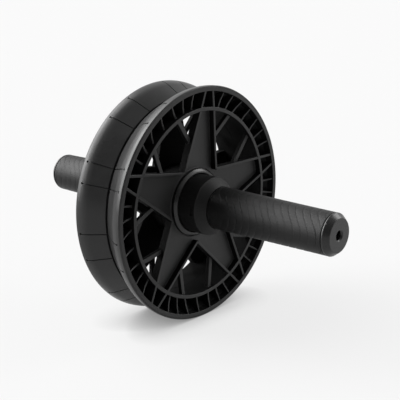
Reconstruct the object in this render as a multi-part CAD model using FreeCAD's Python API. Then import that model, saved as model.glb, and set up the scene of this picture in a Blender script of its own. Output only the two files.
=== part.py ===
"""Ab wheel roller: a two-part star wheel with rubber tyres, spinning on an axle between two handles.

The axle lies along Y, Z is up and the origin is the wheel's centre. Every right-hand piece, on the -Y side,
is mirrored in the plane Y = 0 to make its left-hand twin.
"""
import FreeCAD, Part
import math
import os

# Whole roller, millimetres and degrees
roller_half_length = 158.0

# Wheel and tyre
wheel_radius = 100.0
wheel_half_width = 25.0
tyre_thickness = 3.0
tyre_edge_radius = 1.1
tyre_bond_gap = 0.1
crown_radius = 20.0
tread_cone_angle = 31.0
groove_half_width = 1.2

# Slits across the tread, in pairs beside each arm and each opening
slit_width = 0.8
slit_depth = 1.2
slit_end_inset = 3.9
slit_end_radius = 0.9
slit_arm_angle = 5.1
slit_opening_angle = 7.0

# Rim channel with its ring of pockets
barrel_wall = 1.6
pocket_width = 13.3
pocket_floor = 6.5
ring_wall = 3.0
ring_recess = 1.7
pocket_rib_ring_thickness = 2.0
pocket_rib_rim_thickness = 1.2
pocket_rib_ring_recess = 5.3
pocket_rib_kink_recess = 3.7
pocket_rib_rim_recess = 0.8
pocket_rib_kink_share = 0.466
pocket_rib_ring_shares = (0.361, 0.583, 0.796)
pocket_rib_rim_shares = (0.276, 0.548, 0.808)

# Star
arm_count = 5
first_arm_angle = 14.2
arm_rib_thickness = 2.2
arm_half_width_at_ring = 7.95
arm_taper_angle = 12.68
dish_depth_at_notch = 6.2
plate_recess = 5.2
plate_thickness = 1.8

# Gusset bars from the ring to the arms
gusset_width = 3.7
gusset_depth = 3.7
gusset_recess = 3.3
gusset_ring_offset = 16.5
gusset_arm_share = 0.376

# Dowels in the foot of the rim
dowel_radius = 1.6
dowel_length = 8.0
dowel_fit = 0.05

# Axle, sleeve and bush
axle_radius = 6.0
axle_end_setback = 0.4
axle_fit = 0.1
sleeve_wall = 1.9
bush_running_fit = 0.05
bush_wall = 2.9
bush_seat_fit = 0.05
bush_flange_width = 5.05
bush_flange_thickness = 1.8
bush_inner_end = 0.5

# Thrust washer
thrust_clearance = 0.2
thrust_washer_thickness = 1.0
thrust_washer_setback = 1.0
thrust_washer_fit = 0.3

# Drum and flared flange of the handle core
drum_radius = 24.8
drum_wall = 3.0
drum_setback = 0.6
drum_exposed_length = 16.7
drum_edge_radius = 0.6
drum_floor_wall = 5.0
drum_boss_wall = 5.9
drum_window_height = 8.0
drum_window_length = 3.2
drum_window_inset = 1.9
drum_window_depth = 1.6
drum_window_angles = (0, 180)
flange_length = 7.3
flange_lip = 0.2

# Hub ring
hub_ring_clearance = 0.7
hub_ring_height = 4.3
hub_ring_bevel = 1.8
hub_ring_flat = 1.4
hub_ring_setback = 0.7
hub_ring_spigot_wall = 2.0
hub_ring_spigot_length = 2.9
hub_ring_fit = 0.1

# Hub
hub_wall = 2.4
hub_stand = 0.3
hub_bore_clearance = 1.0
hub_pocket_depth = 5.0
hub_skirt_wall = 4.0
hub_web_thickness = 4.0
hub_boss_wall = 4.0

# Grip and the tube that carries it
core_radius = 13.0
core_end_wall = 3.4
screw_pocket_depth = 12.0
grip_fit = 0.15
grip_inner_end_wall = 4.95
grip_outer_end_wall = 3.8
grip_end_gap = 0.3
grip_edge_radius = 0.7

# End cap
cap_length = 6.0
cap_proud = 0.05
cap_edge_radius = 3.6
cap_face_thickness = 3.5
cap_hole_radius = 3.5
cap_spigot_fit = 0.2
cap_spigot_wall = 1.8
cap_spigot_length = 4.0

# End screw and its washer
screw_radius = 2.9
screw_length = 18.0
screw_head_radius = 5.0
screw_head_height = 6.0
socket_sides = 6
socket_across_flats = 5.0
socket_depth = 3.0
thread_clearance = 0.1
thread_runout = 4.0
screw_washer_fit = 0.6
screw_washer_bore_fit = 0.3
screw_washer_thickness = 1.6

# One overrun for all cuts
overrun = 1.0

# Worked-out rim and tyre
barrel_outer_radius = wheel_radius - tyre_thickness
barrel_middle_radius = barrel_outer_radius - barrel_wall / 2
barrel_inner_radius = barrel_outer_radius - barrel_wall
tyre_seat_depth = tyre_thickness - tyre_bond_gap
tyre_lip_radius = wheel_radius - tyre_edge_radius
rim_lip_radius = tyre_lip_radius - tyre_bond_gap
crown_place = wheel_half_width - tyre_edge_radius
rim_lip_foot = crown_place + tyre_bond_gap
crown_middle_radius = wheel_radius - crown_radius
ring_outer_radius = barrel_inner_radius - pocket_width
ring_inner_radius = ring_outer_radius - ring_wall
ring_middle_radius = ring_inner_radius + ring_wall / 2
ring_top = wheel_half_width - ring_recess
pocket_rib_kink_radius = ring_outer_radius + pocket_rib_kink_share * pocket_width

# Worked-out radii from the axle out to the hub, and from the grip tube to the cap
sleeve_radius = axle_radius + axle_fit + sleeve_wall
bush_radius = sleeve_radius + bush_running_fit + bush_wall
bush_flange_radius = bush_radius + bush_flange_width
hub_bore_radius = drum_radius + hub_bore_clearance
hub_ring_inner_radius = drum_radius + hub_ring_clearance
hub_ring_spigot_radius = hub_ring_inner_radius + hub_ring_spigot_wall
counterbore_radius = hub_ring_spigot_radius + hub_ring_fit
hub_radius = counterbore_radius + hub_wall
hub_tube_middle_radius = (hub_radius + hub_bore_radius) / 2
grip_inner_end_radius = core_radius + grip_fit + grip_inner_end_wall
grip_outer_end_radius = core_radius + grip_fit + grip_outer_end_wall
flange_end_radius = grip_inner_end_radius + flange_lip
screw_pocket_radius = core_radius - core_end_wall
cap_radius = grip_outer_end_radius + cap_proud
cap_spigot_radius = screw_pocket_radius - cap_spigot_fit

# Worked-out star: the notch is where the ribs of two neighbouring arms meet
sector_angle = 360.0 / arm_count
half_sector = math.radians(sector_angle / 2)
arm_taper = math.tan(math.radians(arm_taper_angle))
arm_half_width_at_axle = arm_half_width_at_ring + arm_taper * ring_middle_radius
notch_arm_reach = arm_half_width_at_axle / (math.tan(half_sector) + arm_taper)
notch_radius = notch_arm_reach / math.cos(half_sector)
dish_slope = (dish_depth_at_notch - ring_recess) / (ring_middle_radius - notch_radius)
half_opening = half_sector - math.atan2(arm_half_width_at_ring, ring_middle_radius)
arm_rib_depth = plate_recess + plate_thickness

# Worked-out places along the axle, outward from the middle plane
plate_top_at_hub = ring_top - dish_slope * (ring_middle_radius - hub_radius) - plate_recess
hub_front = plate_top_at_hub + hub_stand
bush_seat = hub_front - hub_pocket_depth
bush_flange_face = bush_seat + bush_flange_thickness
core_face = bush_flange_face + thrust_clearance + thrust_washer_thickness
hub_ring_front = hub_front + hub_ring_height
drum_end = hub_ring_front + drum_exposed_length
flange_end = drum_end + flange_length
core_end = roller_half_length - cap_length
screw_seat = core_end - screw_pocket_depth
screw_head_seat = screw_seat + screw_washer_thickness
axle_half_length = screw_seat - axle_end_setback
tapped_hole_end = screw_head_seat - screw_length - thread_runout
origin = FreeCAD.Vector(0, 0, 0)
along_axle = FreeCAD.Vector(0, 1, 0)


def place(radius, outward):
    """A point of a right-hand outline, from its radius and its distance outward from the middle plane."""
    return FreeCAD.Vector(radius, -outward, 0)


def lines(*points):
    """Straight edges from each point to the next."""
    return [Part.LineSegment(a, b).toShape() for a, b in zip(points, points[1:])]


def arc(centre, radius, first, last):
    """An arc about a centre, between two angles from the radial direction towards the wheel's outside."""
    points = []
    for share in (0, 0.5, 1):
        angle = math.radians(first + (last - first) * share)
        points.append(centre + place(radius * math.cos(angle), radius * math.sin(angle)))
    return [Part.Arc(*points).toShape()]


def turned(edges, angle=360):
    """The solid made by turning a closed outline about the axle."""
    face = Part.Face(Part.Wire(Part.__sortEdges__(edges)))
    return face.revolve(origin, along_axle, angle)


def ring(inner, outer, near, far):
    """A plain ring round the axle between two distances outward from the middle plane."""
    corners = [place(inner, near), place(outer, near), place(outer, far), place(inner, far)]
    return turned(lines(*corners, corners[0]))


def rod(radius, near, far):
    """A plain round bar on the axle's line between two distances outward from the middle plane."""
    return Part.makeCylinder(radius, far - near, place(0, far), along_axle)


def spun(shape, angle):
    """A copy turned about the axle, from +X towards +Z."""
    copy = shape.copy()
    copy.rotate(origin, along_axle, -angle)
    return copy


def mirrored(shape):
    """The left-hand twin of a right-hand shape."""
    return shape.mirror(origin, along_axle)


def prism(points, near, far):
    """An outline in the wheel's plane, given as (reach, across) pairs, drawn out along the axle."""
    corners = [FreeCAD.Vector(reach, -far, across) for reach, across in points]
    return Part.Face(Part.makePolygon(corners + corners[:1])).extrude(along_axle * (far - near))


def bar_outline(start, end, start_width, end_width):
    """The four corners of a straight bar in the wheel's plane, between two (reach, across) points."""
    length = math.dist(start, end)
    side_reach = (start[1] - end[1]) / length / 2
    side_across = (end[0] - start[0]) / length / 2
    corners = []
    for point, width in ((start, start_width), (end, end_width), (end, -end_width), (start, -start_width)):
        corners.append((point[0] + side_reach * width, point[1] + side_across * width))
    return corners


def wheel_point(radius, angle):
    """The (reach, across) pair of a point in the wheel's plane, from its radius and angle in radians."""
    return (radius * math.cos(angle), radius * math.sin(angle))


def arm_half_width(reach):
    """Half the distance between an arm's two ribs at a reach along the arm."""
    return arm_half_width_at_ring + arm_taper * (ring_middle_radius - reach)


def dish_face(radius):
    """Distance outward from the middle plane of the arm ribs' dished top."""
    return ring_top - dish_slope * (ring_middle_radius - radius)


def crown_point(depth, angle):
    """A point a depth under the tread's crown, at an angle from the radial direction."""
    radius = crown_radius - depth
    turn = math.radians(angle)
    return place(crown_middle_radius + radius * math.cos(turn), crown_place + radius * math.sin(turn))


def cone_point(depth, outward):
    """A point a depth under the tread's cone, at a distance outward from the middle plane."""
    turn = math.radians(tread_cone_angle)
    radius_at_crown = crown_middle_radius + (crown_radius - depth) / math.cos(turn)
    return place(radius_at_crown - (crown_place - outward) * math.tan(turn), outward)


def tread_curve(depth, first, foot):
    """The tread's outline a depth under it: the crown from a first angle, then the cone to its foot."""
    middle = place(crown_middle_radius, crown_place)
    edges = arc(middle, crown_radius - depth, first, -tread_cone_angle)
    return edges + lines(crown_point(depth, -tread_cone_angle), cone_point(depth, foot))


def rim_channel():
    """The ring wall, pocket floor, barrel and rim lip, one turned section."""
    pocket_depth = tyre_thickness + barrel_wall
    groove_floor = cone_point(tyre_thickness, groove_half_width)
    edges = tread_curve(tyre_thickness, 0, groove_half_width)
    edges += lines(groove_floor, place(groove_floor.x, 0), place(ring_inner_radius, 0),
                   place(ring_inner_radius, ring_top), place(ring_outer_radius, ring_top),
                   place(ring_outer_radius, pocket_floor), cone_point(pocket_depth, pocket_floor))
    edges += tread_curve(pocket_depth, 0, pocket_floor)
    edges += lines(place(barrel_inner_radius, crown_place), place(barrel_inner_radius, wheel_half_width),
                   place(rim_lip_radius, wheel_half_width), place(rim_lip_radius, rim_lip_foot),
                   place(barrel_outer_radius, rim_lip_foot), place(barrel_outer_radius, crown_place))
    return turned(edges)


def hub():
    """The hub tube with its counterbore, the web and the boss that holds the bush."""
    counterbore_floor = hub_front - hub_ring_spigot_length - hub_ring_fit
    web_back = bush_seat - hub_web_thickness
    bush_bore = bush_radius + bush_seat_fit
    hub_boss_radius = bush_bore + hub_boss_wall
    corners = [place(bush_bore, bush_seat), place(hub_bore_radius, bush_seat),
               place(hub_bore_radius, counterbore_floor), place(counterbore_radius, counterbore_floor),
               place(counterbore_radius, hub_front), place(hub_radius, hub_front), place(hub_radius, 0),
               place(hub_radius - hub_skirt_wall, 0), place(hub_radius - hub_skirt_wall, web_back),
               place(hub_boss_radius, web_back), place(hub_boss_radius, 0), place(bush_bore, 0)]
    return turned(lines(*corners, corners[0]))


def pocket_band(start_recess, kink_radius, kink_recess):
    """The turned band that gives ribs across the pocket ring; its sides and foot end inside the walls."""
    depth = tyre_thickness + barrel_wall / 2
    floor = pocket_floor - barrel_wall / 2
    edges = tread_curve(depth, 0, floor)
    edges += lines(cone_point(depth, floor), place(ring_middle_radius, floor),
                   place(ring_middle_radius, wheel_half_width - start_recess),
                   place(kink_radius, wheel_half_width - kink_recess),
                   place(barrel_middle_radius, wheel_half_width - pocket_rib_rim_recess),
                   place(barrel_middle_radius, crown_place))
    return turned(edges)


def pocket_ribs():
    """The ribs across the pocket ring between two arms: one in the middle, slanted pairs beside it."""
    band = pocket_band(pocket_rib_ring_recess, pocket_rib_kink_radius, pocket_rib_kink_recess)
    ends = [(0, 0)]
    for ring_share, rim_share in zip(pocket_rib_ring_shares, pocket_rib_rim_shares):
        ends += [(ring_share, rim_share), (-ring_share, -rim_share)]
    ribs = []
    for ring_share, rim_share in ends:
        start = wheel_point(ring_middle_radius, ring_share * half_opening)
        end = wheel_point(barrel_middle_radius, rim_share * half_opening)
        outline = bar_outline(start, end, pocket_rib_ring_thickness, pocket_rib_rim_thickness)
        ribs.append(band.common(prism(outline, 0, wheel_half_width)))
    return ribs


def star_band(recess, thickness, start_radius):
    """A dished turned band, a recess below the arm ribs' tops, from a start radius to the ring."""
    corners = []
    for radius, drop in ((start_radius, recess), (ring_middle_radius, recess),
                         (ring_middle_radius, recess + thickness), (start_radius, recess + thickness)):
        corners.append(place(radius, dish_face(radius) - drop))
    return turned(lines(*corners, corners[0]))


def arm():
    """One arm of the star along +X: two edge ribs that run on to the rim, and the plate between them."""
    notch = (notch_arm_reach, arm_half_width(notch_arm_reach))
    rim_end = (barrel_outer_radius, arm_half_width(barrel_outer_radius))
    rim_band = pocket_band(ring_recess, ring_outer_radius, ring_recess)
    wall_band = star_band(0, arm_rib_depth, notch_radius - arm_rib_thickness)
    pieces = []
    for side in (1, -1):
        start, end = [(reach, side * across) for reach, across in (notch, rim_end)]
        slab = prism(bar_outline(start, end, arm_rib_thickness, arm_rib_thickness), 0, wheel_half_width)
        pieces += [wall_band.common(slab), rim_band.common(slab)]
    tip = (ring_middle_radius, arm_half_width(ring_middle_radius))
    outline = [wheel_point(hub_tube_middle_radius, half_sector), notch, tip]
    outline += [(reach, -across) for reach, across in reversed(outline)]
    plate = star_band(plate_recess, plate_thickness, hub_tube_middle_radius)
    pieces.append(plate.common(prism(outline, 0, wheel_half_width)))
    return pieces


def gussets():
    """The two bars across one opening along +X, from the ring wall to the walls of the arms beside it."""
    band = star_band(gusset_recess, gusset_depth, notch_radius)
    ring_reach = math.sqrt(ring_middle_radius ** 2 - gusset_ring_offset ** 2)
    past_notch = gusset_arm_share * (ring_middle_radius - notch_radius)
    arm_reach = notch_radius + past_notch
    arm_across = past_notch * math.tan(half_sector + math.radians(arm_taper_angle))
    bars = []
    for side in (1, -1):
        ring_end = (ring_reach, side * gusset_ring_offset)
        arm_end = (arm_reach, side * arm_across)
        outline = bar_outline(ring_end, arm_end, gusset_width, gusset_width)
        bars.append(band.common(prism(outline, 0, wheel_half_width)))
    return bars


def dowel(radius, near, far):
    """A round bar at a dowel's place on +X, in the middle of the rim's foot."""
    groove_floor = cone_point(tyre_thickness, groove_half_width)
    bar = rod(radius, near, far)
    bar.translate(FreeCAD.Vector((ring_inner_radius + groove_floor.x) / 2, 0, 0))
    return bar


def arm_angles():
    """Angle of each arm from +X towards +Z."""
    return [first_arm_angle + sector_angle * k for k in range(arm_count)]


def wheel_half():
    """The moulded star disc: rim channel, hub, arms, gussets and pocket ribs in one piece."""
    arm_pieces = arm()
    opening_pieces = gussets() + pocket_ribs()
    pieces = [hub()]
    for angle in arm_angles():
        pieces += [spun(piece, angle) for piece in arm_pieces]
        pieces += [spun(piece, angle + sector_angle / 2) for piece in opening_pieces]
    half = rim_channel().fuse(pieces)
    hole = dowel(dowel_radius + dowel_fit, -overrun, dowel_length / 2 + dowel_fit)
    half = half.cut([spun(hole, angle) for angle in arm_angles()])
    return half.removeSplitter()


def slit():
    """The cutters of one tread slit on +X: a thin wedge from the groove and the round end it runs into."""
    end = wheel_half_width - slit_end_inset
    end_sine = (end - crown_place) / (crown_radius - slit_depth)
    end_angle = math.degrees(math.asin(end_sine))
    floor_end = crown_point(slit_depth, end_angle)
    top = wheel_radius + overrun
    edges = tread_curve(slit_depth, end_angle, 0)
    edges += lines(floor_end, place(top, end), place(top, 0), cone_point(slit_depth, 0))
    angle = math.degrees(slit_width / wheel_radius)
    wedge = spun(turned(edges, angle), angle / 2)
    tread_end = crown_point(-overrun, end_angle)
    round_end = Part.makeCylinder(slit_end_radius, slit_depth + overrun, floor_end, tread_end - floor_end)
    return [wedge, round_end]


def tyre():
    """The rubber tread of one half, bonded on the barrel, with its slits."""
    edges = arc(place(tyre_lip_radius, crown_place), tyre_edge_radius, 90, 0)
    edges += tread_curve(0, 0, groove_half_width)
    edges += lines(cone_point(0, groove_half_width), cone_point(tyre_seat_depth, groove_half_width))
    edges += tread_curve(tyre_seat_depth, 0, groove_half_width)
    edges += lines(crown_point(tyre_seat_depth, 0), place(tyre_lip_radius, crown_place),
                   place(tyre_lip_radius, wheel_half_width))
    slit_angles = []
    for angle in arm_angles():
        for side in (1, -1):
            slit_angles.append(angle + side * slit_arm_angle)
            slit_angles.append(angle + sector_angle / 2 + side * slit_opening_angle)
    cutters = slit()
    return turned(edges).cut([spun(cutter, angle) for angle in slit_angles for cutter in cutters])


def hub_ring():
    """The lip round the drum, with a spigot in the hub's counterbore."""
    spigot_end = hub_front - hub_ring_spigot_length
    bevel_foot = hub_ring_front - hub_ring_bevel
    flat_radius = hub_ring_inner_radius + hub_ring_flat
    lip_radius = hub_radius - hub_ring_setback
    corners = [place(hub_ring_inner_radius, hub_ring_front), place(flat_radius, hub_ring_front),
               place(lip_radius, bevel_foot), place(lip_radius, hub_front),
               place(hub_ring_spigot_radius, hub_front), place(hub_ring_spigot_radius, spigot_end),
               place(hub_ring_inner_radius, spigot_end)]
    return turned(lines(*corners, corners[0]))


def bush():
    """The flanged bearing bush in the hub."""
    bore = sleeve_radius + bush_running_fit
    corners = [place(bore, bush_inner_end), place(bush_radius, bush_inner_end),
               place(bush_radius, bush_seat), place(bush_flange_radius, bush_seat),
               place(bush_flange_radius, bush_flange_face), place(bore, bush_flange_face)]
    return turned(lines(*corners, corners[0]))


def thrust_washer():
    """The washer between the bush flange and the handle core."""
    bore = sleeve_radius + thrust_washer_fit
    rim = bush_flange_radius - thrust_washer_setback
    return ring(bore, rim, core_face - thrust_washer_thickness, core_face)


def axle():
    """The bar through both handles, tapped at both ends."""
    bar = rod(axle_radius, -axle_half_length, axle_half_length)
    hole = rod(screw_radius + thread_clearance, tapped_hole_end, axle_half_length + overrun)
    return bar.cut([hole, mirrored(hole)])


def axle_sleeve():
    """The tube on the axle between the two handle cores, on which the bushes turn."""
    return ring(axle_radius + axle_fit, sleeve_radius, -core_face, core_face)


def handle_core():
    """The drum, flared flange and grip tube of one handle, bored for the axle and the end screw."""
    bore = axle_radius + axle_fit
    boss = bore + drum_boss_wall
    drum_inner = drum_radius - drum_wall
    drum_start = core_face + drum_setback
    drum_floor = drum_end - drum_floor_wall
    rounded = place(drum_radius - drum_edge_radius, drum_end - drum_edge_radius)
    edges = lines(place(drum_radius, drum_end - drum_edge_radius), place(drum_radius, drum_start),
                  place(drum_inner, drum_start), place(drum_inner, drum_floor), place(boss, drum_floor),
                  place(boss, core_face), place(bore, core_face), place(bore, screw_seat),
                  place(screw_pocket_radius, screw_seat), place(screw_pocket_radius, core_end),
                  place(core_radius, core_end), place(core_radius, flange_end),
                  place(flange_end_radius, flange_end), place(drum_radius - drum_edge_radius, drum_end))
    edges += arc(rounded, drum_edge_radius, 90, 0)
    corner = FreeCAD.Vector(drum_radius - drum_window_depth, drum_window_inset - drum_end,
                            -drum_window_height / 2)
    window = Part.makeBox(drum_window_depth + overrun, drum_window_length, drum_window_height, corner)
    return turned(edges).cut([spun(window, angle) for angle in drum_window_angles])


def grip():
    """The rubber sleeve on the handle core, tapering to the end cap."""
    inner = core_radius + grip_fit
    near = flange_end + grip_end_gap
    corners = [place(inner, core_end), place(inner, near),
               place(grip_inner_end_radius - grip_edge_radius, near),
               place(grip_inner_end_radius, near + grip_edge_radius),
               place(grip_outer_end_radius, core_end - grip_edge_radius),
               place(grip_outer_end_radius - grip_edge_radius, core_end)]
    return turned(lines(*corners, corners[0]))


def end_cap():
    """The rounded cap on the handle's end, with a hole for the key of the end screw."""
    cap_end = roller_half_length
    face_back = cap_end - cap_face_thickness
    seam = core_end + grip_end_gap
    spigot_end = seam - cap_spigot_length
    spigot_bore = cap_spigot_radius - cap_spigot_wall
    rounded = place(cap_radius - cap_edge_radius, cap_end - cap_edge_radius)
    edges = lines(place(cap_radius - cap_edge_radius, cap_end), place(cap_hole_radius, cap_end),
                  place(cap_hole_radius, face_back), place(spigot_bore, face_back),
                  place(spigot_bore, spigot_end), place(cap_spigot_radius, spigot_end),
                  place(cap_spigot_radius, seam), place(cap_radius, seam),
                  place(cap_radius, cap_end - cap_edge_radius))
    edges += arc(rounded, cap_edge_radius, 0, 90)
    return turned(edges)


def end_screw():
    """The socket screw that clamps a handle core on the axle."""
    head_top = screw_head_seat + screw_head_height
    screw = rod(screw_head_radius, screw_head_seat, head_top)
    screw = screw.fuse(rod(screw_radius, screw_head_seat - screw_length, screw_head_seat))
    corner_radius = socket_across_flats / 2 / math.cos(math.pi / socket_sides)
    corners = []
    for k in range(socket_sides):
        angle = math.tau * k / socket_sides
        corners.append((corner_radius * math.cos(angle), corner_radius * math.sin(angle)))
    return screw.cut(prism(corners, head_top - socket_depth, head_top + overrun)).removeSplitter()


def screw_washer():
    """The washer under an end screw's head."""
    bore = screw_radius + screw_washer_bore_fit
    return ring(bore, screw_pocket_radius - screw_washer_fit, screw_seat, screw_head_seat)


def joining_dowels():
    """The dowels that key the two wheel halves together."""
    bar = dowel(dowel_radius, -dowel_length / 2, dowel_length / 2)
    return Part.makeCompound([spun(bar, angle) for angle in arm_angles()])


def main():
    """Write every piece, the paired ones for both sides."""
    os.makedirs("parts", exist_ok=True)
    paired = {"wheel_half": wheel_half, "tyre": tyre, "hub_ring": hub_ring, "bush": bush,
              "thrust_washer": thrust_washer, "handle_core": handle_core, "grip": grip, "end_cap": end_cap,
              "end_screw": end_screw, "screw_washer": screw_washer}
    single = {"axle": axle, "axle_sleeve": axle_sleeve, "joining_dowels": joining_dowels}
    for name, make in paired.items():
        shape = make()
        shape.exportStep(f"parts/right_{name}.step")
        mirrored(shape).exportStep(f"parts/left_{name}.step")
    for name, make in single.items():
        make().exportStep(f"parts/{name}.step")


main()
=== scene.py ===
import math

import bmesh
import bpy
from bpy.props import FloatProperty, FloatVectorProperty, IntProperty, PointerProperty
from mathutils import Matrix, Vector
from mathutils.bvhtree import BVHTree


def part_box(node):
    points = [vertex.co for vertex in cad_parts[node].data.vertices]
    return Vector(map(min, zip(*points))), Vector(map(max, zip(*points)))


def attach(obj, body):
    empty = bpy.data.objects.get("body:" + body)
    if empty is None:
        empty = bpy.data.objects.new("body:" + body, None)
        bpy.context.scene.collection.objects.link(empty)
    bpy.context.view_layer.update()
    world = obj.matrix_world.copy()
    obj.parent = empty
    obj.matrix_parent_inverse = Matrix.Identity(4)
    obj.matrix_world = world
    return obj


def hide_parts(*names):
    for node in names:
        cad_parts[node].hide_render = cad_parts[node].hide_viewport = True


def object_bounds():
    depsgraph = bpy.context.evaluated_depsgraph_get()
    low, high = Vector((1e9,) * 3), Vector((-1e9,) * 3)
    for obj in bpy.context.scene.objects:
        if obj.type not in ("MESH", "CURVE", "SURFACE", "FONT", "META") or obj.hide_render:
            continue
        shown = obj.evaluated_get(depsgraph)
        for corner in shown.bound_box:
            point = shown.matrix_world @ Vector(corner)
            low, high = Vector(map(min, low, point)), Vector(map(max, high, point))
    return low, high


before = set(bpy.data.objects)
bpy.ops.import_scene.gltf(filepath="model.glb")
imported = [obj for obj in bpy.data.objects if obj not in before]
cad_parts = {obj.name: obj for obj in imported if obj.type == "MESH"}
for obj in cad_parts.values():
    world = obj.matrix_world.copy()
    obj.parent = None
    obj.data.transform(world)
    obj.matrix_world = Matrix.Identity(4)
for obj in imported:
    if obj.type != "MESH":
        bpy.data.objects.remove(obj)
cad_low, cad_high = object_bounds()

bl_info = {
    "name": "Ab wheel roller",
    "version": (1, 0, 0),
    "blender": (4, 5, 0),
    "location": "View3D > Sidebar > Ab wheel",
    "description": "Finishes the ab wheel roller: rounded mouldings, grooved grips, materials, stage and camera",
    "category": "Object",
}

sides = ("right", "left")
outward = {"right": -1.0, "left": 1.0}
grip_low, grip_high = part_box("right_grip")
cap_low, cap_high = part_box("right_end_cap")
cap_proud = 0.00005

# Copies of the CAD nodes: closer points are merged, flatter edges dissolved and sharper edges rounded
merge_distance = 0.000005
flat_angle = math.radians(0.05)
sharp_angle = math.radians(35)

# Shares of an edge's radius: a point farther off the sharp shape is a stray, and a nearer one gets no rubbing and no
# painted edge highlight
stray_share = 0.5
wear_highlight_share = 0.05

# A wheel face that looks outward along the axle by less than this is a wall; walls get painted shade, a darker
# colour with almost no gloss
wall_limit = 0.35
mottle_gain = 1.25
edge_steps = 4
floor_sides = 96

# The colours and the result of a colour mix node, by place among its sockets
mix_first, mix_second, mix_result = 6, 7, 2

# Roughness and its swing, grain, scuffs, edges lighter from rubbing and a painted highlight, lift of the marks and
# gloss of each finish
finish_recipes = {
    "wheel_plastic": dict(rough=0.52, rough_swing=0.04, grain_scale=2200.0, grain_height=0.000006, scuffs=0.15,
                          wear=0.5, lift=0.015, gloss=0.36),
    # Painted shade: the walls' darker colour and almost no gloss stand in for the shade inside the wheel
    "wall_plastic": dict(rough=0.66, rough_swing=0.05, grain_scale=1500.0, grain_height=0.000008, scuffs=0.1,
                         wear=0.3, lift=0.008, gloss=0.03),
    "tread_rubber": dict(rough=0.32, rough_swing=0.05, grain_scale=1700.0, grain_height=0.000006, scuffs=0.4,
                         wear=0.3, lift=0.015, gloss=0.24),
    "grip_rubber": dict(rough=0.50, rough_swing=0.05, grain_scale=2600.0, grain_height=0.000005, scuffs=0.2,
                        wear=0.0, lift=0.01, gloss=0.175),
    "handle_plastic": dict(rough=0.60, rough_swing=0.04, grain_scale=2600.0, grain_height=0.000005, scuffs=0.1,
                           wear=0.4, lift=0.01, gloss=0.22),
    "cap_plastic": dict(rough=0.30, rough_swing=0.04, grain_scale=3000.0, grain_height=0.000004, scuffs=0.15,
                        wear=0.5, lift=0.015, gloss=0.34),
    "steel": dict(rough=0.30, rough_swing=0.05, grain_scale=3000.0, grain_height=0.000003, scuffs=0.3,
                  wear=0.0, lift=-0.1, metallic=1.0),
    "nylon": dict(rough=0.45, rough_swing=0.04, grain_scale=1500.0, grain_height=0.000004, scuffs=0.2,
                  wear=0.0, lift=-0.05),
}

# Each soft patch of the studio: its brightness, a share of it, its direction, and the angles to its edge and core
studio_patches = (
    ("top_light", 1.0, "top_aim", 80, 20),
    ("front_light", 1.0, "front_aim", 60, 15),
    ("back_light", 1.0, "back_aim", 75, 35),
    ("side_light", 1.0, "side_aim", 20, 8),
    ("key_light", 0.7, "key_start", 26, 8),
    ("key_light", 1.0, "key_middle", 26, 8),
    ("key_light", 1.0, "key_end", 26, 8),
)


class RollerSizes(bpy.types.PropertyGroup):
    """Sizes of the finished pieces, in metres"""

    moulding_edge: FloatProperty(
        name="Moulding edge", description="Radius of the rounded edges on the wheel halves",
        default=0.00035, unit="LENGTH")
    turned_edge: FloatProperty(
        name="Turned edge", description="Radius of the rounded edges on the rings and caps",
        default=0.0004, unit="LENGTH")
    tread_edge: FloatProperty(
        name="Tread edge", description="Radius of the rounded edges along the tread's slits",
        default=0.00003, unit="LENGTH")
    core_edge: FloatProperty(
        name="Core edge", description="Radius of the rounded edges on the handle cores",
        default=0.00008, unit="LENGTH")
    cap_round: FloatProperty(
        name="Cap round", description="Radius of the round that the cap's slope is laid through",
        default=0.0036, unit="LENGTH")
    cap_slope_depth: FloatProperty(
        name="Cap slope depth", description="How far the cap's slope comes in from its side",
        default=0.0035, unit="LENGTH")
    cap_slope_length: FloatProperty(
        name="Cap slope length", description="Length of the cap's slope along the axle",
        default=0.0044, unit="LENGTH")
    cap_mouth: FloatProperty(
        name="Cap mouth", description="Width of the bevel at the cap's hole", default=0.0012, unit="LENGTH")
    grip_end_radius: FloatProperty(
        name="Grip end radius", description="Radius of the grip at its end cap",
        default=cap_high.x - cap_proud, unit="LENGTH")
    grip_edge: FloatProperty(
        name="Grip edge", description="Radius of the grip's two rounded ends", default=0.0007, unit="LENGTH")
    grip_wall: FloatProperty(
        name="Grip wall", description="Thickness of the rubber at the grip's wheel end", default=0.00495,
        unit="LENGTH")
    groove_spacing: FloatProperty(
        name="Groove spacing", description="Distance along the grip from groove to groove", default=0.0069,
        unit="LENGTH")
    groove_wave: FloatProperty(
        name="Groove wave", description="How far each groove swings along the grip to either side",
        default=0.0070, unit="LENGTH")
    groove_width: FloatProperty(
        name="Groove width", description="Width of a groove at the surface", default=0.0009, unit="LENGTH")
    groove_depth: FloatProperty(
        name="Groove depth", description="Depth of a groove", default=0.00026, unit="LENGTH")
    land_crown: FloatProperty(
        name="Land crown", description="How far the rubber swells between two grooves", default=0.00005,
        unit="LENGTH")
    groove_apex: FloatProperty(
        name="Groove apex", description="Angle round the grip, from +X towards +Z, where the waves point to -Y",
        default=math.radians(182), subtype="ANGLE")
    grip_columns: IntProperty(name="Grip columns", description="Faces round the grip", default=160)
    grip_rows: IntProperty(name="Grip rows", description="Faces along the grip", default=224)


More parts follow.
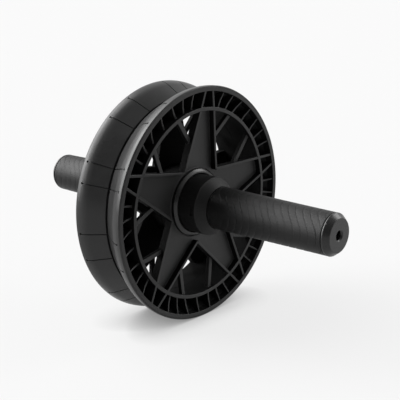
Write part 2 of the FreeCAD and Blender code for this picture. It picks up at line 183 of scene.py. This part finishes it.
class RollerFinishes(bpy.types.PropertyGroup):
    """Colours of the finishes"""

    wheel_plastic: FloatVectorProperty(
        name="Wheel plastic", description="Moulded star wheel", default=(0.007, 0.007, 0.007), subtype="COLOR")
    # Painted shade: this darker colour stands in for the shade on the walls and inner sides of the star wheel
    wall_plastic: FloatVectorProperty(
        name="Wall plastic", description="Coarser walls and inner sides of the star wheel",
        default=(0.004, 0.004, 0.004), subtype="COLOR")
    tread_rubber: FloatVectorProperty(
        name="Tread rubber", description="Rubber of the tyres", default=(0.013, 0.013, 0.013), subtype="COLOR")
    grip_rubber: FloatVectorProperty(
        name="Grip rubber", description="Rubber of the grips", default=(0.006, 0.006, 0.006), subtype="COLOR")
    handle_plastic: FloatVectorProperty(
        name="Handle plastic", description="Drum and flange of the handles", default=(0.004, 0.004, 0.004),
        subtype="COLOR")
    cap_plastic: FloatVectorProperty(
        name="Cap plastic", description="End caps and hub rings", default=(0.007, 0.007, 0.007), subtype="COLOR")
    steel: FloatVectorProperty(
        name="Steel", description="Axle, screws and washers", default=(0.55, 0.55, 0.55), subtype="COLOR")
    nylon: FloatVectorProperty(
        name="Nylon", description="Bushes, thrust washers and dowels", default=(0.72, 0.71, 0.67),
        subtype="COLOR")


class RollerStage(bpy.types.PropertyGroup):
    """Floor, light and camera"""

    floor_radius: FloatProperty(
        name="Floor radius", description="Half width of the floor", default=14.0, unit="LENGTH")
    floor_tone: FloatProperty(
        name="Floor tone", description="Tone of the floor where nothing shades it", default=0.915, subtype="FACTOR")
    floor_colour: FloatProperty(
        name="Floor colour", description="Grey of the floor's surface", default=0.50, subtype="FACTOR")
    floor_glow: FloatProperty(
        name="Floor glow", description="Share of the floor's tone that only close shade takes away", default=0.85,
        subtype="FACTOR")
    shade_reach: FloatProperty(
        name="Shade reach", description="How far from the object its close shade reaches over the floor",
        default=0.03, unit="LENGTH")
    shade_depth: FloatProperty(
        name="Shade depth", description="How much of the floor's glow the close shade takes away", default=0.78,
        subtype="FACTOR")
    room_light: FloatProperty(
        name="Room light", description="Brightness of the room round the object", default=0.08)
    top_light: FloatProperty(
        name="Top light", description="Brightness added straight above", default=0.35)
    front_light: FloatProperty(
        name="Front light", description="Brightness added by the white wall to the right of the camera", default=1.3)
    back_light: FloatProperty(
        name="Back light", description="Brightness of the white backdrop behind the object", default=0.85)
    key_light: FloatProperty(
        name="Key light", description="Brightness added by each softbox behind the object", default=10.0)
    side_light: FloatProperty(
        name="Side light", description="Brightness added by the softbox high at the right", default=5.0)
    top_aim: FloatVectorProperty(
        name="Top aim", description="Direction to the light above", default=(0.0, 0.0, 1.0), subtype="DIRECTION")
    front_aim: FloatVectorProperty(
        name="Front aim", description="Direction to the white wall", default=(0.72, -0.66, 0.20),
        subtype="DIRECTION")
    back_aim: FloatVectorProperty(
        name="Back aim", description="Direction to the white backdrop", default=(0.45, 0.88, 0.10),
        subtype="DIRECTION")
    side_aim: FloatVectorProperty(
        name="Side aim", description="Direction to the softbox high at the right", default=(0.74, -0.25, 0.62),
        subtype="DIRECTION")
    key_start: FloatVectorProperty(
        name="Key start", description="Direction to the first softbox, high behind the object",
        default=(-0.05, 0.66, 0.75), subtype="DIRECTION")
    key_middle: FloatVectorProperty(
        name="Key middle", description="Direction to the middle softbox", default=(-0.45, 0.66, 0.60),
        subtype="DIRECTION")
    key_end: FloatVectorProperty(
        name="Key end", description="Direction to the last softbox, low at the camera's left",
        default=(-0.70, 0.66, 0.28), subtype="DIRECTION")
    camera_place: FloatVectorProperty(
        name="Camera place", description="Where the camera stands", default=(-0.53382, -0.49003, 0.19710),
        subtype="XYZ")
    camera_target: FloatVectorProperty(
        name="Camera target", description="Point at the middle of the picture",
        default=(0.00967, -0.01060, -0.00081), subtype="XYZ")
    camera_lens: FloatProperty(
        name="Camera lens", description="Focal length in millimetres on a sensor 36 mm wide", default=78.386)


def add(tree, kind, settings=None, **inputs):
    """A new node, with its settings and the values or links of its inputs."""
    made = tree.nodes.new(kind)
    for name, value in (settings or {}).items():
        setattr(made, name, value)
    for name, value in inputs.items():
        key = int(name[1:]) if name[0] == "i" and name[1:].isdigit() else name.replace("_", " ")
        if isinstance(value, bpy.types.NodeSocket):
            tree.links.new(value, made.inputs[key])
        else:
            made.inputs[key].default_value = value
    return made


def maths(tree, operation, *values):
    """The result of a maths node on sockets or numbers."""
    inputs = {f"i{k}": value for k, value in enumerate(values)}
    return add(tree, "ShaderNodeMath", {"operation": operation}, **inputs).outputs[0]


def mixed_colour(tree, share, first, second):
    """The colour between two colours or sockets, at a share."""
    mix = add(tree, "ShaderNodeMix", {"data_type": "RGBA"}, i0=share,
              **{f"i{mix_first}": first, f"i{mix_second}": second})
    return mix.outputs[mix_result]


def new_group(name, inputs, outputs):
    """A shader node group with named sockets: its tree, its inputs and its output node."""
    group = bpy.data.node_groups.new(name, "ShaderNodeTree")
    for label, (kind, value) in inputs.items():
        socket = group.interface.new_socket(label, in_out="INPUT", socket_type=kind)
        if value is not None:
            socket.default_value = value
    for label, kind in outputs.items():
        group.interface.new_socket(label, in_out="OUTPUT", socket_type=kind)
    return group, group.nodes.new("NodeGroupInput").outputs, group.nodes.new("NodeGroupOutput").inputs


def make_grain_group():
    """Fine moulding grain and a broad soft mottle, both from 0 to 1."""
    group, given, result = new_group(
        "moulding_grain",
        {"Vector": ("NodeSocketVector", None), "Grain Scale": ("NodeSocketFloat", 2400.0),
         "Mottle Scale": ("NodeSocketFloat", 35.0)},
        {"Grain": "NodeSocketFloat", "Mottle": "NodeSocketFloat"})
    grain = add(group, "ShaderNodeTexNoise", Vector=given["Vector"], Scale=given["Grain Scale"], Detail=2.0)
    mottle = add(group, "ShaderNodeTexNoise", Vector=given["Vector"], Scale=given["Mottle Scale"], Detail=4.0)
    soft = add(group, "ShaderNodeMapRange", {"interpolation_type": "SMOOTHSTEP"}, Value=mottle.outputs[0],
               From_Min=0.3, From_Max=0.7)
    group.links.new(grain.outputs[0], result["Grain"])
    group.links.new(soft.outputs[0], result["Mottle"])
    return group


def make_wear_and_highlight_group():
    """Edges lighter from rubbing and a painted highlight, broken up by noise, from 0 to 1."""
    group, given, result = new_group(
        "rubbed_edges",
        {"Vector": ("NodeSocketVector", None), "Edge": ("NodeSocketFloat", 0.0),
         "Scale": ("NodeSocketFloat", 90.0), "Amount": ("NodeSocketFloat", 0.5)},
        {"Wear": "NodeSocketFloat"})
    noise = add(group, "ShaderNodeTexNoise", Vector=given["Vector"], Scale=given["Scale"], Detail=5.0)
    patchy = add(group, "ShaderNodeMapRange", {"interpolation_type": "SMOOTHSTEP"}, Value=noise.outputs[0],
                 From_Min=0.35, From_Max=0.65, To_Min=0.3)
    worn_and_lit = maths(group, "MULTIPLY", patchy.outputs[0], given["Edge"])
    group.links.new(maths(group, "MULTIPLY", worn_and_lit, given["Amount"]), result["Wear"])
    return group


def make_scuff_group():
    """Faint scattered scuffs, stretched round the axle, from 0 to 1."""
    group, given, result = new_group(
        "light_scuffs",
        {"Vector": ("NodeSocketVector", None), "Scale": ("NodeSocketFloat", 120.0),
         "Amount": ("NodeSocketFloat", 0.35)},
        {"Scuff": "NodeSocketFloat"})
    stretched = add(group, "ShaderNodeMapping", Vector=given["Vector"], Scale=(1.0, 3.0, 1.0))
    noise = add(group, "ShaderNodeTexNoise", Vector=stretched.outputs[0], Scale=given["Scale"], Detail=6.0,
                Roughness=0.7)
    sparse = add(group, "ShaderNodeMapRange", {"interpolation_type": "SMOOTHSTEP"}, Value=noise.outputs[0],
                 From_Min=0.56, From_Max=0.78)
    group.links.new(maths(group, "MULTIPLY", sparse.outputs[0], given["Amount"]), result["Scuff"])
    return group


def shared_group(name):
    """A shared effect, built the first time that it is asked for."""
    makers = {"moulding_grain": make_grain_group, "light_scuffs": make_scuff_group,
              "rubbed_edges": make_wear_and_highlight_group}
    return bpy.data.node_groups.get(name) or makers[name]()


def make_finish(name, colour, rough, rough_swing, grain_scale, grain_height, scuffs, wear, lift, gloss=0.5,
                metallic=0.0):
    """A procedural finish: mottle, scuffs, edges lighter from rubbing and a painted highlight, uneven roughness and
    a fine grain in the surface.
    """
    material = bpy.data.materials.new(name)
    material.use_nodes = True
    tree = material.node_tree
    shader = tree.nodes["Principled BSDF"]
    place = add(tree, "ShaderNodeTexCoord").outputs["Object"]
    grain = add(tree, "ShaderNodeGroup", {"node_tree": shared_group("moulding_grain")}, Vector=place,
                Grain_Scale=grain_scale)
    scuff = add(tree, "ShaderNodeGroup", {"node_tree": shared_group("light_scuffs")}, Vector=place,
                Amount=scuffs)
    # Rounded edges get a lighter colour: partly rubbing, partly a painted highlight
    edge = add(tree, "ShaderNodeAttribute", {"attribute_name": "edge_wear"})
    rubbed_and_lit = add(tree, "ShaderNodeGroup", {"node_tree": shared_group("rubbed_edges")}, Vector=place,
                 Edge=edge.outputs["Fac"], Amount=wear)
    marks = maths(tree, "MAXIMUM", scuff.outputs["Scuff"], rubbed_and_lit.outputs["Wear"])
    light = [channel * mottle_gain for channel in colour]
    pale = [max(0.0, min(1.0, channel + lift)) for channel in colour]
    mottled = mixed_colour(tree, grain.outputs["Mottle"], (*colour, 1), (*light, 1))
    tree.links.new(mixed_colour(tree, marks, mottled, (*pale, 1)), shader.inputs["Base Color"])
    uneven = add(tree, "ShaderNodeMapRange", Value=grain.outputs["Mottle"], To_Min=rough - rough_swing,
                 To_Max=rough + rough_swing)
    tree.links.new(uneven.outputs[0], shader.inputs["Roughness"])
    bump = add(tree, "ShaderNodeBump", Height=grain.outputs["Grain"], Distance=grain_height, Strength=1.0)
    tree.links.new(bump.outputs[0], shader.inputs["Normal"])
    shader.inputs["Metallic"].default_value = metallic
    shader.inputs["Specular IOR Level"].default_value = gloss
    return material


def finish_named(name):
    """One of the roller's finishes, made the first time that it is asked for."""
    colour = getattr(bpy.context.scene.roller_finishes, name)
    label = f"{name}_finish"
    return bpy.data.materials.get(label) or make_finish(label, colour, **finish_recipes[name])


def new_piece(name, mesh, body, nodes):
    """A finished piece in the scene, riding on its body in place of its CAD nodes."""
    piece = bpy.data.objects.new(name, mesh)
    bpy.context.scene.collection.objects.link(piece)
    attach(piece, body)
    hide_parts(*nodes)


def baked(maker):
    """A plain mesh of an object with its modifiers applied; the object itself is removed."""
    graph = bpy.context.evaluated_depsgraph_get()
    mesh = bpy.data.meshes.new_from_object(maker.evaluated_get(graph))
    mesh.name = maker.name
    bpy.data.objects.remove(maker)
    return mesh


def modified(name, mesh, kind, **settings):
    """A plain mesh of a mesh with one modifier applied."""
    maker = bpy.data.objects.new(name, mesh)
    bpy.context.scene.collection.objects.link(maker)
    modifier = maker.modifiers.new(name, kind)
    for setting, value in settings.items():
        setattr(modifier, setting, value)
    return baked(maker)


def rounded_copy(node, edge, reshape):
    """A copy of a CAD node with its doubles merged, its flat faces whole and its sharp edges rounded.

    The reshape function may change the merged copy first. The edge attribute for rubbing and the painted edge
    highlight is 1 along the rounded edges and 0 on the faces between them.
    """
    shell = bmesh.new()
    shell.from_mesh(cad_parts[node].data)
    bmesh.ops.remove_doubles(shell, verts=shell.verts, dist=merge_distance)
    reshape(shell)
    bmesh.ops.dissolve_limit(shell, angle_limit=flat_angle, verts=shell.verts, edges=shell.edges)
    surface = BVHTree.FromBMesh(shell)
    mesh = bpy.data.meshes.new(f"{node}_sharp")
    shell.to_mesh(mesh)
    shell.free()
    mesh = modified(f"{node}_bevelled", mesh, "BEVEL", width=edge, segments=2, limit_method="ANGLE",
                    angle_limit=sharp_angle, use_clamp_overlap=False)
    wear = mesh.attributes.new("edge_wear", "FLOAT", "POINT")
    for vert in mesh.vertices:
        nearest, _, _, distance = surface.find_nearest(vert.co)
        if distance > edge * stray_share:
            vert.co = nearest
        wear.data[vert.index].value = 1.0 if distance > edge * wear_highlight_share else 0.0
    mesh.shade_smooth()
    mesh.set_sharp_from_angle(angle=sharp_angle)
    return modified(f"{node}_rounded", mesh, "WEIGHTED_NORMAL", keep_sharp=True)


def lathe(name, outline, columns):
    """A closed ring of quads from a closed outline of (radius, place along the axle) pairs."""
    shell = bmesh.new()
    rows = []
    for radius, along in outline:
        row = []
        for k in range(columns):
            angle = math.tau * k / columns
            row.append(shell.verts.new((radius * math.cos(angle), along, radius * math.sin(angle))))
        rows.append(row)
    for near, far in zip(rows, rows[1:] + rows[:1]):
        for k in range(columns):
            after = (k + 1) % columns
            shell.faces.new((near[k], near[after], far[after], far[k]))
    bmesh.ops.recalc_face_normals(shell, faces=shell.faces)
    mesh = bpy.data.meshes.new(name)
    shell.to_mesh(mesh)
    shell.free()
    return mesh


def grip_outline(sizes, side):
    """The closed section of one grip: end faces, rounded edges, tapered outside and bore."""
    near, far = -grip_high.y, -grip_low.y
    near_radius, far_radius, edge = grip_high.x, sizes.grip_end_radius, sizes.grip_edge
    bore = near_radius - sizes.grip_wall
    outline = [(bore, near)]
    for k in range(edge_steps):
        turn = math.pi / 2 * k / edge_steps
        outline.append((near_radius - edge + edge * math.sin(turn), near + edge - edge * math.cos(turn)))
    for k in range(sizes.grip_rows + 1):
        share = k / sizes.grip_rows
        along = near + edge + (far - near - 2 * edge) * share
        outline.append((near_radius + (far_radius - near_radius) * share, along))
    for k in range(1, edge_steps + 1):
        turn = math.pi / 2 * k / edge_steps
        outline.append((far_radius - edge + edge * math.cos(turn), far - edge + edge * math.sin(turn)))
    outline.append((bore, far))
    return [(radius, outward[side] * along) for radius, along in outline]


def make_groove_tree():
    """A Geometry Nodes tree that carves waving grooves round a grip along Y."""
    tree = bpy.data.node_groups.new("wave_grooves", "GeometryNodeTree")
    tree.interface.new_socket("Geometry", in_out="INPUT", socket_type="NodeSocketGeometry")
    for label in ("Near", "Far", "Spacing", "Wave", "Width", "Depth", "Crown", "Apex", "Fade"):
        tree.interface.new_socket(label, in_out="INPUT", socket_type="NodeSocketFloat")
    tree.interface.new_socket("Material", in_out="INPUT", socket_type="NodeSocketMaterial")
    tree.interface.new_socket("Geometry", in_out="OUTPUT", socket_type="NodeSocketGeometry")
    given = tree.nodes.new("NodeGroupInput").outputs
    result = tree.nodes.new("NodeGroupOutput").inputs

    place = add(tree, "ShaderNodeSeparateXYZ", Vector=tree.nodes.new("GeometryNodeInputPosition").outputs[0])
    x, y, z = place.outputs
    turn = maths(tree, "SUBTRACT", maths(tree, "ARCTAN2", z, x), given["Apex"])
    wave = maths(tree, "MULTIPLY", maths(tree, "COSINE", maths(tree, "MULTIPLY", turn, 2.0)), given["Wave"])
    along = maths(tree, "ABSOLUTE", y)
    to_end = maths(tree, "MINIMUM", maths(tree, "SUBTRACT", along, given["Near"]),
                   maths(tree, "SUBTRACT", given["Far"], along))
    inner = add(tree, "ShaderNodeMapRange", {"interpolation_type": "SMOOTHSTEP"}, Value=to_end, From_Min=0.0,
                From_Max=given["Fade"])
    lean = maths(tree, "MULTIPLY", maths(tree, "MULTIPLY", wave, -1.0), inner.outputs[0])
    leaned = add(tree, "GeometryNodeSetPosition", Geometry=given["Geometry"],
                 Offset=add(tree, "ShaderNodeCombineXYZ", Y=lean).outputs[0])

    phase = maths(tree, "DIVIDE", maths(tree, "ADD", y, wave), given["Spacing"])
    off_line = maths(tree, "ABSOLUTE", maths(tree, "SUBTRACT", maths(tree, "FRACT", phase), 0.5))
    distance = maths(tree, "MULTIPLY", off_line, given["Spacing"])
    cut = add(tree, "ShaderNodeMapRange", {"interpolation_type": "SMOOTHSTEP"}, Value=distance, From_Min=0.0,
              From_Max=maths(tree, "MULTIPLY", given["Width"], 0.5), To_Min=1.0, To_Max=0.0)
    slope = maths(tree, "SUBTRACT", 1.0, maths(tree, "MULTIPLY", off_line, 2.0))
    sag = maths(tree, "MULTIPLY", maths(tree, "MULTIPLY", slope, slope), given["Crown"])
    depth = maths(tree, "ADD", maths(tree, "MULTIPLY", cut.outputs[0], given["Depth"]), sag)
    clear = add(tree, "ShaderNodeMapRange", Value=to_end, From_Min=0.0, From_Max=given["Depth"])
    depth = maths(tree, "MULTIPLY", depth, clear.outputs[0])
    inward = add(tree, "ShaderNodeVectorMath", {"operation": "NORMALIZE"},
                 i0=add(tree, "ShaderNodeCombineXYZ", X=x, Z=z).outputs[0])
    push = add(tree, "ShaderNodeVectorMath", {"operation": "SCALE"}, i0=inward.outputs[0],
               Scale=maths(tree, "MULTIPLY", depth, -1.0))
    carved = add(tree, "GeometryNodeSetPosition", Geometry=leaned.outputs[0], Offset=push.outputs[0])
    smooth = add(tree, "GeometryNodeSetShadeSmooth", Geometry=carved.outputs[0])
    real = add(tree, "GeometryNodeRealizeInstances", Geometry=smooth.outputs[0])
    coloured = add(tree, "GeometryNodeSetMaterial", Geometry=real.outputs[0], Material=given["Material"])
    tree.links.new(coloured.outputs[0], result["Geometry"])
    return tree


def set_inputs(modifier, tree, values):
    """Set a Geometry Nodes modifier's inputs by their names in the tree."""
    for item in tree.interface.items_tree:
        if item.in_out == "INPUT" and item.name in values:
            modifier[item.identifier] = values[item.name]


def dress_nodes(names, finish):
    """Give CAD nodes that keep their own shape a procedural finish."""
    for name in names:
        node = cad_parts[name]
        if not node.material_slots:
            raise RuntimeError(f"{name} has no material slot")
        for slot in node.material_slots:
            slot.material = finish_named(finish)


def make_floor(stage):
    """A wide pale floor under the tread."""
    shell = bmesh.new()
    bmesh.ops.create_circle(shell, cap_ends=True, segments=floor_sides, radius=stage.floor_radius)
    for vert in shell.verts:
        vert.co.z = cad_low.z
    mesh = bpy.data.meshes.new("floor")
    shell.to_mesh(mesh)
    shell.free()
    floor = bpy.data.objects.new("floor", mesh)
    bpy.context.scene.collection.objects.link(floor)
    material = bpy.data.materials.new("pale_floor")
    material.use_nodes = True
    tree = material.node_tree
    tone = (stage.floor_tone, stage.floor_tone, stage.floor_tone, 1)
    shader = tree.nodes["Principled BSDF"]
    shader.inputs["Base Color"].default_value = (stage.floor_colour, stage.floor_colour, stage.floor_colour, 1)
    shader.inputs["Roughness"].default_value = 0.9
    shader.inputs["Specular IOR Level"].default_value = 0.0
    shade = add(tree, "ShaderNodeAmbientOcclusion", Color=tone, Distance=stage.shade_reach)
    glow = add(tree, "ShaderNodeEmission", Strength=1.0,
               Color=mixed_colour(tree, stage.shade_depth, tone, shade.outputs["Color"]))
    path = add(tree, "ShaderNodeLightPath").outputs
    seen = maths(tree, "MAXIMUM", maths(tree, "MAXIMUM", path["Is Camera Ray"], path["Is Glossy Ray"]),
                 path["Is Transmission Ray"])
    mixed = add(tree, "ShaderNodeMixShader", i0=maths(tree, "MULTIPLY", seen, stage.floor_glow),
                i1=shader.outputs[0], i2=glow.outputs[0])
    tree.links.new(mixed.outputs[0], tree.nodes["Material Output"].inputs["Surface"])
    mesh.materials.append(material)


def soft_patch(tree, direction, toward, edge_angle, full_angle):
    """A soft round patch of the studio: 1 within a full angle of its middle, 0 past its edge angle."""
    aim = Vector(toward).normalized()
    facing = add(tree, "ShaderNodeVectorMath", {"operation": "DOT_PRODUCT"}, i0=direction, i1=aim)
    patch = add(tree, "ShaderNodeMapRange", {"interpolation_type": "SMOOTHSTEP"}, Value=facing.outputs["Value"],
                From_Min=math.cos(math.radians(edge_angle)), From_Max=math.cos(math.radians(full_angle)))
    return patch.outputs[0]


def make_sky(stage):
    """A studio of soft patches: room, top light, white wall, white backdrop and a row of softboxes."""
    world = bpy.data.worlds.new("studio")
    bpy.context.scene.world = world
    world.use_nodes = True
    tree = world.node_tree
    light = tree.nodes["Background"]
    direction = add(tree, "ShaderNodeTexCoord").outputs["Generated"]
    level = stage.room_light
    for brightness, share, aim, edge_angle, full_angle in studio_patches:
        patch = soft_patch(tree, direction, getattr(stage, aim), edge_angle, full_angle)
        level = maths(tree, "ADD", maths(tree, "MULTIPLY", patch, getattr(stage, brightness) * share), level)
    tree.links.new(level, light.inputs["Strength"])
    light.inputs["Color"].default_value = (1, 1, 1, 1)


def make_camera(stage):
    """The camera at the photograph's viewing angle."""
    data = bpy.data.cameras.new("camera")
    data.sensor_width = 36.0
    data.lens = stage.camera_lens
    camera = bpy.data.objects.new("camera", data)
    camera.location = stage.camera_place
    toward = Vector(stage.camera_target) - Vector(stage.camera_place)
    camera.rotation_euler = toward.to_track_quat("-Z", "Y").to_euler()
    bpy.context.scene.collection.objects.link(camera)
    bpy.context.scene.camera = camera


class RoundedPieces:
    """Finished copies of both sides' twins of one CAD node."""

    bl_options = {"REGISTER", "UNDO"}
    piece = ""
    body = ""
    slot = ""
    finish = ""
    wall_finish = ""
    edge = ""

    def reshape(self, shell):
        """Leave the merged copy as it is."""

    def execute(self, context):
        for side in sides:
            node = f"{side}_{self.piece}"
            mesh = rounded_copy(node, getattr(context.scene.roller_sizes, self.edge), self.reshape)
            mesh.materials.clear()
            mesh.materials.append(finish_named(self.finish))
            # Faces that don't look outward take the painted-shade finish, a darker colour that stands in for shade
            # inside the wheel
            if self.wall_finish:
                mesh.materials.append(finish_named(self.wall_finish))
                for face in mesh.polygons:
                    face.material_index = 1 if face.normal.y * outward[side] < wall_limit else 0
            new_piece(f"{node}_finished", mesh, self.body, [node])
        return {"FINISHED"}


class ROLLER_OT_wheel_halves(RoundedPieces, bpy.types.Operator):
    """Moulded star discs with rounded edges"""

    bl_idname = "roller.wheel_halves"
    bl_label = "Wheel halves"
    piece, body, slot = "wheel_half", "wheel", "wheel_plastic"
    # The walls' finish is painted shade
    finish, wall_finish, edge = "wheel_plastic", "wall_plastic", "moulding_edge"


class ROLLER_OT_tyres(RoundedPieces, bpy.types.Operator):
    """Rubber tyres with their slits"""

    bl_idname = "roller.tyres"
    bl_label = "Tyres"
    piece, body, slot = "tyre", "wheel", "tread_rubber"
    finish, edge = "tread_rubber", "tread_edge"


class ROLLER_OT_hub_rings(RoundedPieces, bpy.types.Operator):
    """Lips round the drums"""

    bl_idname = "roller.hub_rings"
    bl_label = "Hub rings"
    piece, body, slot = "hub_ring", "wheel", "ring_plastic"
    finish, edge = "cap_plastic", "turned_edge"


class ROLLER_OT_handle_cores(RoundedPieces, bpy.types.Operator):
    """Drums and flared flanges of the handles"""

    bl_idname = "roller.handle_cores"
    bl_label = "Handle cores"
    piece, body, slot = "handle_core", "handles", "handle_plastic"
    finish, edge = "handle_plastic", "core_edge"


class ROLLER_OT_end_caps(RoundedPieces, bpy.types.Operator):
    """Caps on the handles' ends with a sloped edge and a bevelled hole"""

    bl_idname = "roller.end_caps"
    bl_label = "End caps"
    piece, body, slot = "end_cap", "handles", "cap_plastic"
    finish, edge = "cap_plastic", "turned_edge"

    def reshape(self, shell):
        """Flatten the round of the cap's edge to a slope and bevel the mouth of its hole."""
        sizes = bpy.context.scene.roller_sizes
        end, radius = -cap_low.y, cap_high.x
        for vert in shell.verts:
            reach = math.hypot(vert.co.x, vert.co.z)
            out = reach - (radius - sizes.cap_round)
            along = abs(vert.co.y) - (end - sizes.cap_round)
            if out > -merge_distance and along > -merge_distance:
                share = math.atan2(max(along, 0.0), max(out, 0.0)) / math.radians(90)
                narrowed = (radius - share * sizes.cap_slope_depth) / reach
                vert.co.x *= narrowed
                vert.co.z *= narrowed
                vert.co.y = math.copysign(end - (1 - share) * sizes.cap_slope_length, vert.co.y)
        mouth = [edge for edge in shell.edges
                 if all(abs(vert.co.y) > end - merge_distance and math.hypot(vert.co.x, vert.co.z) < radius / 2
                        for vert in edge.verts)]
        bmesh.ops.bevel(shell, geom=mouth, offset=sizes.cap_mouth, segments=1, affect="EDGES")


class ROLLER_OT_grips(bpy.types.Operator):
    """Rubber grips with waving grooves"""

    bl_idname = "roller.grips"
    bl_label = "Grips"
    bl_options = {"REGISTER", "UNDO"}

    def execute(self, context):
        sizes = context.scene.roller_sizes
        tree = bpy.data.node_groups.get("wave_grooves") or make_groove_tree()
        for side in sides:
            maker = bpy.data.objects.new(f"{side}_grip_grooved",
                                         lathe(f"{side}_sleeve", grip_outline(sizes, side), sizes.grip_columns))
            context.scene.collection.objects.link(maker)
            carve = maker.modifiers.new("grooves", "NODES")
            carve.node_group = tree
            set_inputs(carve, tree, {
                "Near": -grip_high.y, "Far": -grip_low.y, "Spacing": sizes.groove_spacing,
                "Wave": sizes.groove_wave, "Width": sizes.groove_width, "Depth": sizes.groove_depth,
                "Crown": sizes.land_crown, "Apex": sizes.groove_apex, "Fade": 2 * sizes.groove_wave,
                "Material": finish_named("grip_rubber")})
            new_piece(f"{side}_grip_finished", baked(maker), "handles", [f"{side}_grip"])
        return {"FINISHED"}


class ROLLER_OT_hardware(bpy.types.Operator):
    """Axle, sleeve, bushes, washers, screws and dowels"""

    bl_idname = "roller.hardware"
    bl_label = "Hardware"
    bl_options = {"REGISTER", "UNDO"}

    def execute(self, context):
        dress_nodes(["axle", "axle_sleeve"], "steel")
        dress_nodes([f"{side}_{name}" for side in sides for name in ("end_screw", "screw_washer")], "steel")
        dress_nodes([f"{side}_{name}" for side in sides for name in ("bush", "thrust_washer")], "nylon")
        dress_nodes(["joining_dowels"], "nylon")
        return {"FINISHED"}


class ROLLER_OT_stage(bpy.types.Operator):
    """Pale floor, soft studio light and the camera"""

    bl_idname = "roller.stage"
    bl_label = "Stage"
    bl_options = {"REGISTER", "UNDO"}

    def execute(self, context):
        stage = context.scene.roller_stage
        make_floor(stage)
        make_sky(stage)
        make_camera(stage)
        context.scene.view_settings.view_transform = "Standard"
        return {"FINISHED"}


operators = (ROLLER_OT_wheel_halves, ROLLER_OT_tyres, ROLLER_OT_hub_rings, ROLLER_OT_handle_cores,
             ROLLER_OT_grips, ROLLER_OT_end_caps, ROLLER_OT_hardware, ROLLER_OT_stage)


class ROLLER_PT_panel(bpy.types.Panel):
    """The roller's pieces and settings"""

    bl_label = "Ab wheel roller"
    bl_idname = "ROLLER_PT_panel"
    bl_space_type = "VIEW_3D"
    bl_region_type = "UI"
    bl_category = "Ab wheel"

    def draw(self, context):
        for operator in operators:
            self.layout.operator(operator.bl_idname)
        for group in ("roller_sizes", "roller_finishes", "roller_stage"):
            settings = getattr(context.scene, group)
            box = self.layout.box()
            for name in settings.bl_rna.properties.keys():
                if name not in ("rna_type", "name"):
                    box.prop(settings, name)


groups = {"roller_sizes": RollerSizes, "roller_finishes": RollerFinishes, "roller_stage": RollerStage}


def register():
    """Register the settings, the operators and the panel."""
    for name, group in groups.items():
        bpy.utils.register_class(group)
        setattr(bpy.types.Scene, name, PointerProperty(type=group))
    for operator in operators:
        bpy.utils.register_class(operator)
    bpy.utils.register_class(ROLLER_PT_panel)


def unregister():
    """Take the panel, the operators and the settings away again."""
    bpy.utils.unregister_class(ROLLER_PT_panel)
    for operator in reversed(operators):
        bpy.utils.unregister_class(operator)
    for name, group in groups.items():
        delattr(bpy.types.Scene, name)
        bpy.utils.unregister_class(group)


def main():
    """Build every piece and the stage."""
    register()
    for operator in operators:
        family, action = operator.bl_idname.split(".")
        getattr(getattr(bpy.ops, family), action)()


if __name__ == "__main__":
    main()
